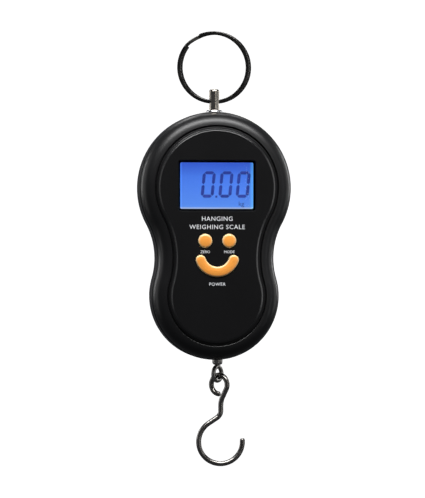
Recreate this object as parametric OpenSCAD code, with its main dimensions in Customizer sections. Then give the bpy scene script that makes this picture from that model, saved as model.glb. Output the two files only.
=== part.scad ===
/* [Case] */
// Radius of the upper lobe of the case
upper_r = 35.5; // [34.5:0.5:36.5]
// Radius of the lower lobe of the case
lower_r = 29.75; // [29.5:0.25:30.5]
// Radius of the hollow waist between the lobes
waist_r = 33.8; // [30:0.2:36]
// Depth of the front half, seam to display panel
front_depth = 13.4; // [13.4:0.1:14]
// Depth of the rear half, seam to back face
rear_depth = 13.5; // [13.5:0.1:14.5]
// Thickness of the moulded walls
wall = 2; // [1.8:0.1:2.2]

/* [Controls] */
// Width of the visible display
view_w = 34.2; // [32:0.2:35]
// Height of the visible display
view_h = 21.7; // [20:0.1:22]
// Diameter of the two round keys
key_d = 6.5; // [6:0.1:7]
// Width of the curved key
smile_w = 4.7; // [4.2:0.1:5]
// Distance that each key travels
key_travel = 0.4; // [0.3:0.05:0.4]

/* [Hanging gear] */
// Inside diameter of the split ring
ring_id = 30.4; // [29:0.2:32]
// Diameter of the hanger post
post_d = 4.8; // [4.6:0.1:5.2]
// Diameter of the hook wire
hook_wire = 2.4; // [2.2:0.1:2.4]
// Radius of the hook bowl, to the middle of the wire
bowl_r = 10.25; // [9.5:0.25:11]

/* [Hidden] */
$fn = 64;

// Heights, measured down from the top of the hanging ring's inside
upper_z = -71.35;
lower_z = -121.67;
lobe_gap = upper_z - lower_z;

// Where the hollow waist arcs touch the two lobes
reach_up = upper_r + waist_r;
reach_low = lower_r + waist_r;
waist_drop = (pow(reach_up, 2) - pow(reach_low, 2) + pow(lobe_gap, 2)) / (2 * lobe_gap);
waist_x = sqrt(pow(reach_up, 2) - pow(waist_drop, 2));
waist_z = upper_z - waist_drop;
up_angle = asin(waist_drop / reach_up);
low_angle = asin((lobe_gap - waist_drop) / reach_low);

// Rim and display panel, as distances in from the case outline
step_in = 0.5;
step_h = 5.5;
rim_r = 6.7;
groove_in = 6.6;
panel_in = 7.4;
bevel_in = 8.9;
overlap = 0.5;
land = 0.25;
upper_steps = 30;
lower_steps = 26;
waist_steps = 6;
floor_front = 10.9;
floor_back = 8.9;
bevel_h = 12.3;
rear_round = 5;
seam_v = 0.35;

// Display
view_z = -70.5;
seat = 0.8;
window_front = 12.9;
window_back = 11.4;
window_play = 0.1;
glass_x = 19;
glass_top = -57.5;
glass_bottom = -85.5;
glass_front = 8.7;
glass_back = 7;
light_bottom = -82.5;
frame_wall = 1.2;
frame_play = 0.15;
zebra_top = -83;
zebra_h = 2;

// Circuit board
board_front = 5.8;
board_back = 4.2;
board_x = 25;
board_top = -53;
board_waist = -90;
board_low_x = 15;
board_bottom = -117;
board_holes = [[-23, -58], [23, -58], [-23, -86], [23, -86], [-11.5, -114.5], [11.5, -114.5]];
boss_r = 2.3;
m2_d = 2;
m2_pilot = 2.04;

// Keys
keys_z = -96.05;
keys_x = 5.55;
smile_z = -102.25;
smile_r = 8.1;
smile_half = 71;
key_gap = 0.25;
key_proud = 1.1;
flange = 0.8;
flange_front = 8.8;
flange_back = 7.9;
plunger_d = 2.2;
switch_w = 4.6;
switch_front = flange_back - key_travel - 0.1;
power_z = smile_z - smile_r;

// Load cell and the line of pull
cell_x = 15;
cell_y = 3.5;
cell_top = -49;
cell_arm = 8;
cell_slot = 4.5;
cell_block = 15;
slot_end = 8;
slot1_z = cell_top - cell_arm;
block_top = slot1_z - cell_slot;
block_bottom = block_top - cell_block;
slot2_z = block_bottom - cell_slot;
cell_bottom = slot2_z - cell_arm;
m4_d = 4;
m4_bore = 4.1;
nut_flats = 7;
nut_h = 3.2;
cell_hole_x = 11;
cell_hole_z = -53;

// Split ring and hanger post
ring_radial = 1.7;
ring_coil = 1.05;
ring_shift = 0.5;
ring_r = ring_id / 2;
ring_z = -ring_r;
post_hole_z = ring_z - ring_r - ring_radial / 2;
post_hole_d = 3.2;
post_top = -25.3;
case_top = upper_z + upper_r;
case_bottom = lower_z - lower_r;
collar_d = 7.6;
collar_low = case_top - 0.75;
collar_high = case_top + 0.9;

// Swivelling eye and hook
stud_x = 1.5;
stud_d = 4.75;
rod_d = 3.8;
neck_top = -147.6;
neck_bottom = -153.6;
eye_r = 3.3;
eye_wire = 2.1;
eye_z = -157.8;
eye_turn = 50;
hook_turn = -40;
loop_r = 4.4;
touch_gap = 0.08;
loop_end = 274;
lean = 30;
pivot_z = eye_z - eye_r;
loop_in = loop_r - (hook_wire + eye_wire) / 2 - touch_gap;
loop_off = loop_in * sin(lean);
loop_x = stud_x + loop_off * cos(hook_turn);
loop_y = loop_off * sin(hook_turn);
loop_z = pivot_z - loop_in * cos(lean);
shank_u = 0.85;
shank_x = loop_x + shank_u * cos(hook_turn);
shank_y = loop_y + shank_u * sin(hook_turn);
neck_u = 7.66;
shank_top = loop_z - neck_u;
bowl_x = shank_x - 0.1;
bowl_z = -189.5;
tip_angle = 8;
throat_angle = 123.4;
bend_r = 4;

// Batteries
battery_d = 10.5;
battery_len = 43.5;
nub_d = 3.8;
nub_h = 1;
battery_x = 6.4;
battery_y = 6.2;
bay_r = 5.4;
tray_x = 13;
tray_front = -0.9;
tray_back = 8.4;
tray_top = -96.3;
bay_top = -97.5;
bay_bottom = -144.9;
tray_bottom = -146.4;
plate_t = 0.4;
first_top = bay_top - plate_t;
second_bottom = bay_bottom + plate_t;
lead_hole = 1.4;
lead_x = 5.5;
lead_y = 2.5;

// Battery door
door_x = 12.9;
door_top = -97.8;
door_low = -142.6;
door_in = 11.9;
door_t = 1.6;
door_r = 4;
barrel_x = 7;
barrel_y = door_in + door_t / 2;
barrel_z = -144.2;
door_pin = 1;
door_gap = 0.25;

// Case screws
case_holes = [[-8, -44], [8, -44], [-17.5, -134], [17.5, -134]];
case_screw_d = 2.2;
case_boss_r = 2.8;
head_d = 4.6;
head_h = 1.6;
head_sink = 2.5;

// A flat shape stood upright between two depths behind the seam
module slab(front, back) {
  translate([0, back, 0])
    rotate([90, 0, 0])
      linear_extrude(back - front)
        children();
}

// Points along an arc, without its last one
function arc_points(x, z, r, from, to, n) =
  [for (i = [0:n - 1])
     let (a = from + (to - from) * i / n)
       [x + r * cos(a), z + r * sin(a)]];

// Points round the case outline, drawn in by a distance
function outline_points(inset) =
  concat(arc_points(0, upper_z, upper_r - inset, -up_angle, 180 + up_angle, upper_steps),
         arc_points(-waist_x, waist_z, waist_r + inset, up_angle, -low_angle, waist_steps),
         arc_points(0, lower_z, lower_r - inset, 180 - low_angle, 360 + low_angle, lower_steps),
         arc_points(waist_x, waist_z, waist_r + inset, 180 + low_angle, 180 - up_angle, waist_steps));

// The flat outline of the case, drawn in by a distance
module outline(inset) {
  polygon(outline_points(inset));
}

// A solid in the shape of the case, from rows of [distance in, height over the seam]
module shell(rows) {
  n = upper_steps + lower_steps + 2 * waist_steps;
  last = len(rows) - 1;
  points = [for (row = rows, p = outline_points(row.x)) [p.x, p.y, row.y]];
  sides = [for (r = [0:last - 1], i = [0:n - 1])
             [r * n + i, (r + 1) * n + i, (r + 1) * n + (i + 1) % n, r * n + (i + 1) % n]];
  low = [[for (i = [0:n - 1]) i]];
  high = [[for (i = [n - 1:-1:0]) last * n + i]];
  rotate([90, 0, 0])
    polyhedron(points, concat(sides, low, high), convexity = 8);
}

// A round bar along the depth of the case
module bar(d, x, z, front, back) {
  translate([x, back, z])
    rotate([90, 0, 0])
      cylinder(d = d, h = back - front);
}

// The curved key's shape, grown by a distance
module smile(grow) {
  band = smile_w + 2 * grow;
  translate([0, smile_z])
    difference() {
      circle(smile_r + band / 2);
      circle(smile_r - band / 2);
      polygon([[0, 0],
               [-30 * sin(smile_half), -30 * cos(smile_half)],
               [-30, 30],
               [30, 30],
               [30 * sin(smile_half), -30 * cos(smile_half)]]);
    }
  for (side = [-1, 1])
    translate([side * smile_r * sin(smile_half), smile_z - smile_r * cos(smile_half)])
      circle(band / 2);
}

// Both round key shapes, grown by a distance
module round_keys(grow) {
  for (side = [-1, 1])
    translate([side * keys_x, keys_z])
      circle(key_d / 2 + grow);
}

// A rectangle about the display centre
module display_area(w, h) {
  translate([-w / 2, view_z - h / 2])
    square([w, h]);
}

// A soft wire through a list of points
module strand(points, d) {
  for (i = [0:len(points) - 2]) {
    run = points[i + 1] - points[i];
    translate(points[i])
      rotate([0, acos(run.z / norm(run)), atan2(run.y, run.x)])
        cylinder(d = d, h = norm(run), $fn = 24);
    if (i > 0)
      translate(points[i])
        sphere(d = 1.08 * d, $fn = 24);
  }
}

// Front half of the case, with the floor that carries the display panel
module front_cover() {
  color("#1b1c1e")
    difference() {
      union() {
        difference() {
          shell(concat([[seam_v, 0],
                        [0, seam_v],
                        [0.1, step_h - 0.3],
                        [step_in, step_h - 0.1]],
                       [for (a = [15:15:75])
                          [step_in + rim_r - rim_r * cos(a), step_h + rim_r * sin(a)]],
                       [[groove_in, step_h + rim_r]]));
          slab(-front_depth, -floor_front)
            outline(groove_in + land);
          shell([[wall + seam_v, -1],
                 [wall + seam_v, 1],
                 [wall + 1.2, step_h + 1.5],
                 [wall + 4, floor_back]]);
        }
        for (hole = board_holes)
          bar(2 * boss_r, hole.x, hole.y, -floor_back - overlap, -board_front);
        for (hole = case_holes)
          bar(2 * case_boss_r, hole.x, hole.y, -floor_back - overlap, 0);
      }
      slab(-front_depth, -floor_back + 1) {
        display_area(view_w, view_h);
        smile(key_gap);
        round_keys(key_gap);
      }
      for (hole = board_holes)
        bar(m2_pilot, hole.x, hole.y, -floor_back - 1, -board_front + 1);
      for (hole = case_holes)
        bar(case_screw_d + 0.04, hole.x, hole.y, -floor_back + 0.4, 1);
      hanger_ways();
    }
}

// The holes at the seam for the hanger post and its collar, and for the swivelling eye
module hanger_ways() {
  translate([0, 0, case_top - 4])
    cylinder(d = post_d + 0.5, h = 8);
  translate([0, 0, collar_low])
    cylinder(d = collar_d + 0.2, h = 4);
  translate([stud_x, 0, case_bottom - 2])
    cylinder(d = stud_d + 0.7, h = 6);
}

// Back half of the case, with the battery opening
module rear_cover() {
  color("#151618")
    difference() {
      union() {
        mirror([0, 1, 0])
          difference() {
            shell(concat([[seam_v, 0],
                          [0, seam_v]],
                         [for (a = [0:15:90])
                            [rear_round - rear_round * cos(a),
                             rear_depth - rear_round + rear_round * sin(a)]]));
            shell([[wall + seam_v, -1],
                   [wall + seam_v, rear_depth - wall - 3],
                   [wall + 3.5, rear_depth - wall]]);
          }
        for (hole = case_holes)
          bar(2 * case_boss_r, hole.x, hole.y, 0, rear_depth - wall + overlap);
        for (side = [-1, 1])
          bar(2 * boss_r, side * cell_hole_x, cell_hole_z, cell_y, rear_depth - wall + overlap);
      }
      slab(rear_depth - wall - 1, rear_depth + 1)
        door_shape(door_gap);
      for (side = [-1, 1])
        translate([side * (barrel_x + 0.9), barrel_y, barrel_z])
          rotate([0, 90, 0])
            cylinder(d = door_pin + 0.1, h = 1.8, center = true);
      for (hole = case_holes) {
        bar(case_screw_d + 0.4, hole.x, hole.y, -1, rear_depth + 1);
        bar(head_d + 0.4, hole.x, hole.y, rear_depth - head_sink, rear_depth + 1);
      }
      for (side = [-1, 1])
        bar(m2_pilot, side * cell_hole_x, cell_hole_z, cell_y - 1, rear_depth - wall + 0.5);
      hanger_ways();
    }
}

// The battery door's shape, grown by a distance
module door_shape(grow) {
  difference() {
    translate([-door_x - grow, door_low - grow])
      square([2 * (door_x + grow), door_top - door_low + 2 * grow]);
    for (side = [-1, 1])
      translate([side * (door_x + grow - door_r), door_top + grow - door_r])
        difference() {
          translate([side > 0 ? 0 : -door_r - 1, 0])
            square([door_r + 1, door_r + 1]);
          circle(door_r);
        }
  }
  translate([-barrel_x - grow, barrel_z - door_t / 2 - grow])
    square([2 * (barrel_x + grow), 3]);
}

// Raised black panel, shaped like the case outline, round the display and the keys
module face_panel() {
  color("#0f1011")
    difference() {
      shell([[panel_in, floor_front],
             [panel_in, bevel_h],
             [bevel_in, front_depth]]);
      slab(-front_depth - 1, -floor_front + 1) {
        display_area(view_w, view_h);
        smile(key_gap);
        round_keys(key_gap);
      }
      slab(-front_depth - 1, -window_back)
        display_area(view_w + 2 * seat, view_h + 2 * seat);
    }
}

// Clear window over the display
module display_window() {
  color("#9fb8d8")
    slab(-window_front, -window_back)
      display_area(view_w + 2 * seat - window_play, view_h + 2 * seat - window_play);
}

// Frame that holds the display glass and its light on the board
module lcd_frame() {
  inner_x = glass_x + frame_play;
  color("#e8e8e4")
    difference() {
      slab(-glass_front, -board_front)
        translate([-inner_x - frame_wall, glass_bottom - frame_play - frame_wall])
          square([2 * (inner_x + frame_wall),
                  glass_top - glass_bottom + 2 * (frame_play + frame_wall)]);
      slab(-glass_front - 1, -board_front + 1)
        translate([-inner_x, glass_bottom - frame_play])
          square([2 * inner_x, glass_top - glass_bottom + 2 * frame_play]);
    }
}

// Display glass
module lcd_glass() {
  color("#3a78dc")
    slab(-glass_front, -glass_back)
      translate([-glass_x, glass_bottom])
        square([2 * glass_x, glass_top - glass_bottom]);
}

// One slanted bar of a display digit
module segment(x, z, w, h) {
  translate([x, z])
    square([w, h]);
}

// Dark digits and unit sign on the display glass
module lcd_digits() {
  digit_h = 12.2;
  digit_w = 6;
  bar_w = 1.1;
  digit_z = -76;
  slant = 0.1;
  starts = [-7.3, 0.9, 8.9];
  color("#12308a")
    slab(-glass_front - 0.1, -glass_front)
      multmatrix([[1, slant, 0, -slant * digit_z],
                  [0, 1, 0, 0],
                  [0, 0, 1, 0],
                  [0, 0, 0, 1]]) {
        for (x = starts)
          difference() {
            segment(x, digit_z, digit_w, digit_h);
            segment(x + bar_w, digit_z + bar_w, digit_w - 2 * bar_w, digit_h - 2 * bar_w);
          }
        segment(-0.5, digit_z, 1, 1.1);
      }
}

// Rubber strip that joins the display glass to the board
module zebra_strip() {
  color("#c86a78")
    slab(-glass_back, -board_front)
      translate([-17, zebra_top - zebra_h])
        square([34, zebra_h]);
}

// Light guide behind the display glass
module backlight_panel() {
  color("#d8ecff")
    slab(-glass_back, -board_front)
      translate([-17.4, light_bottom])
        square([34.8, glass_top - light_bottom]);
}

// Two lamps at the edges of the light guide
module backlight_leds() {
  color("#f4f4d8")
    for (side = [-1, 1])
      translate([side * 18.2 - 0.6, -glass_back + 0.1, -72])
        cube([1.2, glass_back - board_front - 0.1, 3]);
}

// Circuit board, wide behind the display and narrow behind the keys
module circuit_board() {
  color("#1f6b3a")
    difference() {
      slab(-board_front, -board_back) {
        translate([-board_x, board_waist])
          square([2 * board_x, board_top - board_waist]);
        translate([-board_low_x, board_bottom])
          square([2 * board_low_x, board_waist - board_bottom + 1]);
      }
      for (hole = board_holes)
        bar(m2_d + 0.2, hole.x, hole.y, -board_front - 1, -board_back + 1);
    }
}

// Epoxy drop over the controller
module controller_blob() {
  color("#101010")
    translate([-8, -board_back, -101.5])
      rotate([-90, 0, 0]) {
        cylinder(d = 10, h = 0.6);
        cylinder(d1 = 9.6, d2 = 6, h = 1.3);
      }
}

// Converter chip that reads the load cell
module converter_chip() {
  color("#26262a")
    translate([6.6, -board_back, -105]) {
      translate([1, 0, 0])
        cube([3.9, 1.5, 9.9]);
      for (i = [0:7])
        translate([0, 0, 0.4 + i * 1.2])
          cube([5.9, 0.3, 0.5]);
    }
}

// Small resistors and capacitors on the back of the board
module board_parts() {
  color("#b89a6a")
    for (i = [0:5]) {
      translate([-20.5, -board_back, -60 - i * 4.6])
        cube([1.2, 0.6, 2]);
      translate([19.3, -board_back, -60 - i * 4.6])
        cube([1.2, 0.8, 2]);
    }
}

// A small pan-headed screw pointing to the front, head at a given depth
module screw(d, head, head_t, x, z, head_front, tip) {
  difference() {
    union() {
      bar(head, x, z, head_front, head_front + head_t);
      bar(d, x, z, tip, head_front + overlap);
    }
    translate([x - 0.25 * head, head_front + head_t - 0.5, z - 0.3])
      cube([0.5 * head, 1, 0.6]);
    translate([x - 0.3, head_front + head_t - 0.5, z - 0.25 * head])
      cube([0.6, 1, 0.5 * head]);
  }
}

// Screws that hold the board to the front half of the case
module board_screws() {
  color("#b8bcc2")
    for (hole = board_holes)
      screw(m2_d, 3.6, 1.2, hole.x, hole.y, -board_back, -board_front - 2.6);
}

// Switch bodies under the keys
module tact_switches() {
  color("#3b3c40")
    for (at = [[-keys_x, keys_z], [keys_x, keys_z], [0, power_z]])
      difference() {
        translate([at.x - switch_w / 2, -switch_front, at.y - switch_w / 2])
          cube([switch_w, switch_front - board_front, switch_w]);
        bar(plunger_d + 0.1, at.x, at.y, -switch_front - 1, -board_front - 0.3);
      }
}

// The pin of one switch
module plunger(x, z) {
  color("#e9e4d8")
    bar(plunger_d, x, z, -flange_back, -switch_front + 0.8);
}

module tare_plunger() {
  plunger(-keys_x, keys_z);
}

module unit_plunger() {
  plunger(keys_x, keys_z);
}

module power_plunger() {
  plunger(0, power_z);
}

// A round key with its hidden flange
module round_key(x) {
  color("#f29a2e") {
    bar(key_d, x, keys_z, -front_depth - key_proud + 0.5, -flange_front + 0.1);
    bar(key_d - 1, x, keys_z, -front_depth - key_proud, -flange_front + 0.1);
    bar(key_d + 2 * flange, x, keys_z, -flange_front, -flange_back);
  }
}

module tare_button() {
  round_key(-keys_x);
}

module unit_button() {
  round_key(keys_x);
}

// Curved key under the two round ones
module power_button() {
  color("#f29a2e") {
    slab(-front_depth - key_proud + 0.5, -flange_front + 0.1)
      smile(0);
    slab(-front_depth - key_proud, -front_depth)
      smile(-0.5);
    slab(-flange_front, -flange_back)
      smile(0.6);
  }
}

// S-shaped aluminium load cell with its thinned middle
module load_cell() {
  color("#c9ccd0")
    difference() {
      translate([-cell_x, -cell_y, cell_bottom])
        cube([2 * cell_x, 2 * cell_y, cell_top - cell_bottom]);
      translate([-cell_x - 1, -cell_y - 1, block_top])
        cube([cell_x + slot_end + 1, 2 * cell_y + 2, cell_slot]);
      translate([-slot_end, -cell_y - 1, slot2_z])
        cube([cell_x + slot_end + 1, 2 * cell_y + 2, cell_slot]);
      for (side = [-1, 1])
        bar(8, side * 5, (block_top + block_bottom) / 2, -cell_y - 1, cell_y + 1);
      translate([-5, -cell_y - 1, (block_top + block_bottom) / 2 - 1.5])
        cube([10, 2 * cell_y + 2, 3]);
      translate([0, 0, slot1_z - 1])
        cylinder(d = m4_bore, h = cell_arm + 2);
      translate([stud_x, 0, cell_bottom - 1])
        cylinder(d = m4_bore, h = cell_arm + 2);
      for (side = [-1, 1]) {
        bar(2.2, side * cell_hole_x, cell_hole_z, -cell_y - 1, cell_y + 1);
        bar(4, side * cell_hole_x, cell_hole_z, -cell_y - 1, -cell_y + 1.5);
      }
    }
}

// Screws that fix the upper arm of the load cell to the case
module cell_screws() {
  color("#b8bcc2")
    for (side = [-1, 1]) {
      bar(3.6, side * cell_hole_x, cell_hole_z, -cell_y + 0.3, -cell_y + 1.5);
      bar(m2_d, side * cell_hole_x, cell_hole_z, -cell_y + 1, rear_depth - wall - 1);
    }
}

// Four strain gauges bonded over the thin places of the load cell
module strain_gauges() {
  color("#d9a441")
    for (side = [-1, 1]) {
      translate([side * 5.5 - 1.5, -2.5, block_top])
        cube([3, 5, 0.2]);
      translate([side * 5.5 - 1.5, -2.5, block_bottom - 0.2])
        cube([3, 5, 0.2]);
    }
}

// Four leads from the load cell to the board
module cell_wires() {
  leads = ["#d33", "#2a2", "#eee", "#222"];
  for (i = [0:3])
    color(leads[i])
      strand([[-7.2, -1.8 + 1.2 * i, block_top + 1],
              [-17, -1.8 + 1.2 * i, block_top + 1],
              [-17, -1.8 + 1.2 * i, cell_bottom - 1.2],
              [-13.6 + 1.4 * i, -board_back + 0.45, cell_bottom - 2.8]], 0.7);
}

// Hanger post: eye above the case, shoulder on the load cell and thread below
module hanger_post() {
  color("#c4c7cc")
    difference() {
      union() {
        translate([0, 0, cell_top])
          cylinder(d = post_d, h = post_top - 1 - cell_top);
        translate([0, 0, post_top - 1])
          cylinder(d1 = post_d, d2 = post_d - 1.4, h = 1);
        translate([0, 0, slot1_z - nut_h - 0.7])
          cylinder(d = m4_d, h = cell_top - slot1_z + nut_h + 1);
      }
      translate([0, 0, post_hole_z])
        rotate([0, 90, 0])
          cylinder(d = post_hole_d, h = 8, center = true);
    }
}

// A hexagon nut standing on its own height, flats to the front
module hex_nut(x, z) {
  translate([x, 0, z])
    difference() {
      rotate([0, 0, 30])
        cylinder(d = nut_flats / cos(30), h = nut_h, $fn = 6);
      translate([0, 0, -1])
        cylinder(d = m4_d + 0.04, h = nut_h + 2);
    }
}

// Nut under the upper arm of the load cell
module post_nut() {
  color("#9ea2a8")
    hex_nut(0, slot1_z - nut_h);
}

// Bright collar where the hanger post leaves the case
module post_collar() {
  color("#d8dade")
    difference() {
      union() {
        translate([0, 0, collar_low])
          cylinder(d = collar_d, h = case_top - collar_low + 0.2);
        translate([0, 0, case_top + 0.2])
          cylinder(d1 = collar_d, d2 = post_d + 1, h = collar_high - case_top - 0.2);
      }
      translate([0, 0, collar_low - 1])
        cylinder(d = post_d + 0.04, h = 5);
    }
}

// Split ring: two coils side by side, each with its cut end
module split_ring() {
  color("#8d9197")
    for (side = [-1, 1])
      difference() {
        translate([side * ring_shift, side * ring_coil / 2, ring_z])
          rotate([90, 0, 0])
            rotate_extrude()
              translate([ring_r, -ring_coil / 2])
                square([ring_radial, ring_coil]);
        translate([side * ring_shift, side * ring_coil / 2, ring_z])
          rotate([0, side > 0 ? 40 : 220, 0])
            translate([-ring_r - 3, -ring_coil / 2 - (side > 0 ? 0 : 1), -0.3])
              cube([6, ring_coil + 1, 0.6]);
      }
}

// Moulded tray that holds both batteries, grooved for the pull rod
module battery_tray() {
  color("#26282b")
    difference() {
      slab(tray_front, tray_back)
        polygon([[-tray_x, tray_top],
                 [tray_x, tray_top],
                 [tray_x, bay_bottom + 0.6],
                 [10.9, tray_bottom],
                 [-10.9, tray_bottom],
                 [-tray_x, bay_bottom + 0.6]]);
      for (side = [-1, 1]) {
        translate([side * battery_x, battery_y, bay_bottom])
          cylinder(r = bay_r, h = bay_top - bay_bottom);
        translate([side * lead_x, lead_y, bay_top - 1])
          cylinder(d = lead_hole, h = 4);
      }
      translate([-battery_x - bay_r, battery_y, bay_bottom])
        cube([2 * (battery_x + bay_r), 10, bay_top - bay_bottom]);
      translate([-10.7, 1.9, bay_bottom])
        cube([21.4, 10, plate_t + 0.1]);
      for (side = [-1, 1])
        translate([side * battery_x - 4.3, 1.9, bay_top - plate_t - 0.1])
          cube([8.6, 10, plate_t + 0.1]);
      translate([stud_x, 0, tray_bottom - 1])
        cylinder(r = rod_d / 2 + 0.35, h = tray_top - tray_bottom + 2);
    }
}

// One small round battery, standing with its plain end down
module battery(x, plain_z, way) {
  translate([x, battery_y, plain_z])
    rotate([way > 0 ? 0 : 180, 0, 0]) {
      cylinder(d = battery_d, h = battery_len);
      cylinder(d = nub_d, h = battery_len + nub_h);
    }
}

module battery_1() {
  color("#3d6fb0")
    battery(-battery_x, first_top - battery_len - nub_h, 1);
}

module battery_2() {
  color("#3d6fb0")
    battery(battery_x, second_bottom + battery_len + nub_h, -1);
}

// Round wire wound into a coil that narrows towards its far end
module coil(height, wide, narrow, wire, turns) {
  steps = 14;
  sides = 8;
  count = turns * steps;
  rise = height - wire;
  points = [for (i = [0:count], j = [0:sides - 1])
              let (a = 360 * i / steps,
                   r = wide + (narrow - wide) * i / count + wire / 2 * cos(360 * j / sides))
              [r * cos(a), r * sin(a), wire / 2 + rise * i / count + wire / 2 * sin(360 * j / sides)]];
  skin = [for (i = [0:count - 1], j = [0:sides - 1])
            [i * sides + j, (i + 1) * sides + j,
             (i + 1) * sides + (j + 1) % sides, i * sides + (j + 1) % sides]];
  near = [[for (j = [0:sides - 1]) j]];
  far = [[for (j = [sides - 1:-1:0]) count * sides + j]];
  polyhedron(points, concat(skin, near, far), convexity = 6);
}

// Springs against the plain ends of the batteries
module battery_springs() {
  gap = battery_len + nub_h;
  color("#d0d2d6") {
    translate([-battery_x, battery_y, second_bottom])
      coil(first_top - gap - second_bottom, 3.6, 2.2, 0.55, 2.5);
    translate([battery_x, battery_y, first_top])
      rotate([180, 0, 0])
        coil(first_top - gap - second_bottom, 3.6, 2.2, 0.55, 2.5);
  }
}

// Plate that links the lower ends of the batteries
module link_contact() {
  color("#c9ccd0")
    translate([-10.6, 2, bay_bottom])
      cube([21.2, 8.4, plate_t]);
}

// Two plates at the upper ends of the batteries
module terminal_contacts() {
  color("#c9ccd0")
    for (side = [-1, 1])
      translate([side * battery_x - 4.2, 2, bay_top - plate_t])
        cube([8.4, 8.4, plate_t]);
}

// Two leads from the battery plates to the board
module battery_wires() {
  for (side = [-1, 1])
    color(side < 0 ? "#c33" : "#222")
      strand([[side * lead_x, lead_y, bay_top],
              [side * lead_x, lead_y, -93],
              [side * (lead_x + 1.5), -board_back + 0.2, -92.2]], 1);
}

// Battery door, turning on the barrel along its lower edge
module battery_door() {
  color("#1a1b1d")
    difference() {
      union() {
        slab(door_in, door_in + door_t)
          difference() {
            door_shape(0);
            translate([-20, barrel_z - 5])
              square([40, 5]);
          }
        translate([-barrel_x, barrel_y, barrel_z])
          rotate([0, 90, 0])
            cylinder(d = door_t, h = 2 * barrel_x);
        translate([-barrel_x - 1, barrel_y, barrel_z])
          rotate([0, 90, 0])
            cylinder(d = door_pin, h = 2 * barrel_x + 2);
      }
      for (i = [0:3])
        translate([-5, door_in + door_t - 0.4, door_top - 5 - 1.6 * i])
          cube([10, 1, 0.8]);
    }
}

// Screws that join the two halves of the case
module case_screws() {
  color("#6d7074")
    for (hole = case_holes)
      screw(case_screw_d, head_d, head_h, hole.x, hole.y, rear_depth - head_sink, -7);
}

// Pull rod with its eye under the case
module eye_stud() {
  color("#b4b8be") {
    translate([stud_x, 0, neck_top - overlap])
      cylinder(d = rod_d, h = slot2_z + nut_h + 0.9 - neck_top + overlap);
    translate([stud_x, 0, neck_bottom])
      cylinder(d = stud_d, h = neck_top - neck_bottom);
    translate([stud_x, 0, cell_bottom - 0.3])
      cylinder(d = m4_d, h = slot2_z + nut_h + 0.9 - cell_bottom);
    translate([stud_x, 0, eye_z])
      rotate([90, 0, eye_turn])
        rotate_extrude()
          translate([eye_r, 0])
            circle(d = eye_wire);
  }
}

// Washer on which the pull rod turns
module swivel_washer() {
  color("#c8a85a")
    translate([stud_x, 0, slot2_z + 0.03])
      difference() {
        cylinder(d = 6.8, h = 0.5);
        translate([0, 0, -1])
          cylinder(d = m4_d + 0.04, h = 3);
      }
}

// Nut at the top of the pull rod
module swivel_nut() {
  color("#9ea2a8")
    hex_nut(stud_x, slot2_z + 0.53);
}

// A bent length of wire in the upright plane, between two angles
module wire_bend(x, z, r, from, to) {
  translate([x, 0, z])
    rotate([90, 0, 0])
      rotate([0, 0, from])
        rotate_extrude(angle = to - from)
          translate([r, 0])
            circle(d = hook_wire);
}

// A straight length of wire in the upright plane, let a little way into what it joins
module wire_run(x0, z0, x1, z1) {
  let_in = 0.25;
  translate([x0, 0, z0])
    rotate([0, atan2(x1 - x0, z1 - z0), 0])
      translate([0, 0, -let_in])
        cylinder(d = hook_wire - 0.04, h = norm([x1 - x0, z1 - z0]) + 2 * let_in);
}

// Hook: closed eye, straight shank, bend and open bowl
module hook() {
  throat_x = bowl_r * cos(throat_angle);
  throat_z = bowl_r * sin(throat_angle);
  meet_z = throat_z - (shank_x - bowl_x - throat_x) * cos(throat_angle) / sin(throat_angle);
  lead = bend_r * tan((180 - throat_angle) / 2);
  bend_z = bowl_z + meet_z + lead;
  foot = norm([shank_u, neck_u]);
  tie = atan2(-neck_u, shank_u) + acos(loop_r / foot);
  color("#7f848a") {
    translate([0, shank_y, 0]) {
      wire_bend(bowl_x, bowl_z, bowl_r, throat_angle, 360 + tip_angle);
      wire_run(bowl_x + throat_x, bowl_z + throat_z,
               shank_x - lead * sin(throat_angle), bowl_z + meet_z + lead * cos(throat_angle));
      wire_bend(shank_x - bend_r, bend_z, bend_r, throat_angle - 180, 0);
      wire_run(shank_x, bend_z, shank_x, shank_top);
      translate([shank_x, 0, shank_top])
        sphere(d = 1.06 * hook_wire);
    }
    translate([loop_x, loop_y, loop_z])
      rotate([0, 0, hook_turn]) {
        wire_run(shank_u, -neck_u, loop_r * cos(tie), loop_r * sin(tie));
        wire_bend(0, 0, loop_r, tie, loop_end);
      }
  }
}

split_ring();
hanger_post();
post_nut();
post_collar();
front_cover();
rear_cover();
face_panel();
display_window();
lcd_frame();
lcd_glass();
lcd_digits();
zebra_strip();
backlight_panel();
backlight_leds();
circuit_board();
controller_blob();
converter_chip();
board_parts();
board_screws();
tact_switches();
tare_plunger();
unit_plunger();
power_plunger();
tare_button();
unit_button();
power_button();
load_cell();
cell_screws();
strain_gauges();
cell_wires();
battery_tray();
battery_1();
battery_2();
battery_springs();
link_contact();
terminal_contacts();
battery_wires();
battery_door();
case_screws();
eye_stud();
swivel_nut();
swivel_washer();
hook();
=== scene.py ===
"""Looks of the hanging fish scale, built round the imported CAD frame."""
import math

import bmesh
import bpy
from mathutils import Matrix, Vector
from mathutils.geometry import tessellate_polygon


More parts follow.
